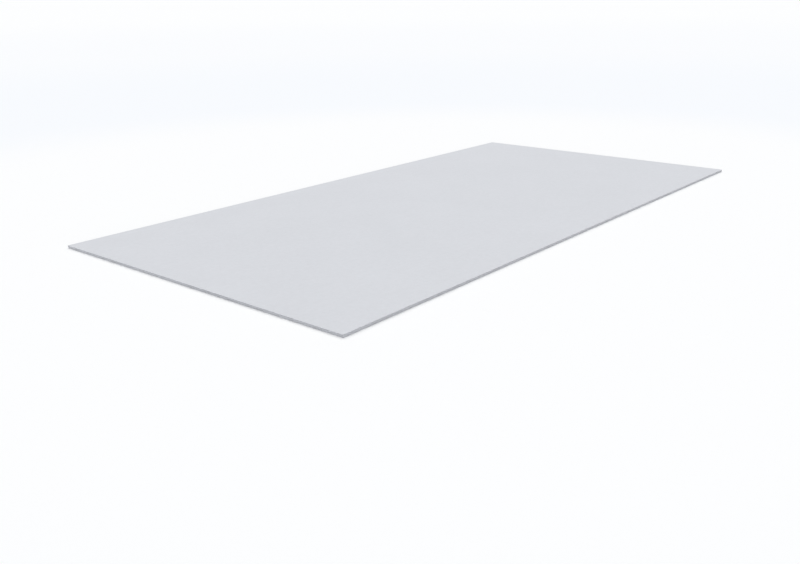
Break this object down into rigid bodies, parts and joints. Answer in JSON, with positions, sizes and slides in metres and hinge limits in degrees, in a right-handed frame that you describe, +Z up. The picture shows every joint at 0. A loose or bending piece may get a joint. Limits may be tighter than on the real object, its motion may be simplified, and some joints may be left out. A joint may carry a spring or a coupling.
{
  "type": "coated polystyrene board",
  "caption": "Flat rectangular building board: foamed polystyrene sheet with a thin hard coat on both faces and square cut edges, for lining and backing.",
  "frame": {"origin": "centre of the bottom face, the face that the board lies on", "axes": "+Y along the board's length, +X across its width, +Z up through its thickness"},
  "size_m": [1.22, 2.44, 0.009],
  "materials": {
    "coated_board": "matt pale grey thin coat on both faces, with a fine even grain; cut edges show the pale foamed core between the two coats"
  },
  "bodies": {
    "root": {"board": "coated_board"}
  },
  "joints": []
}
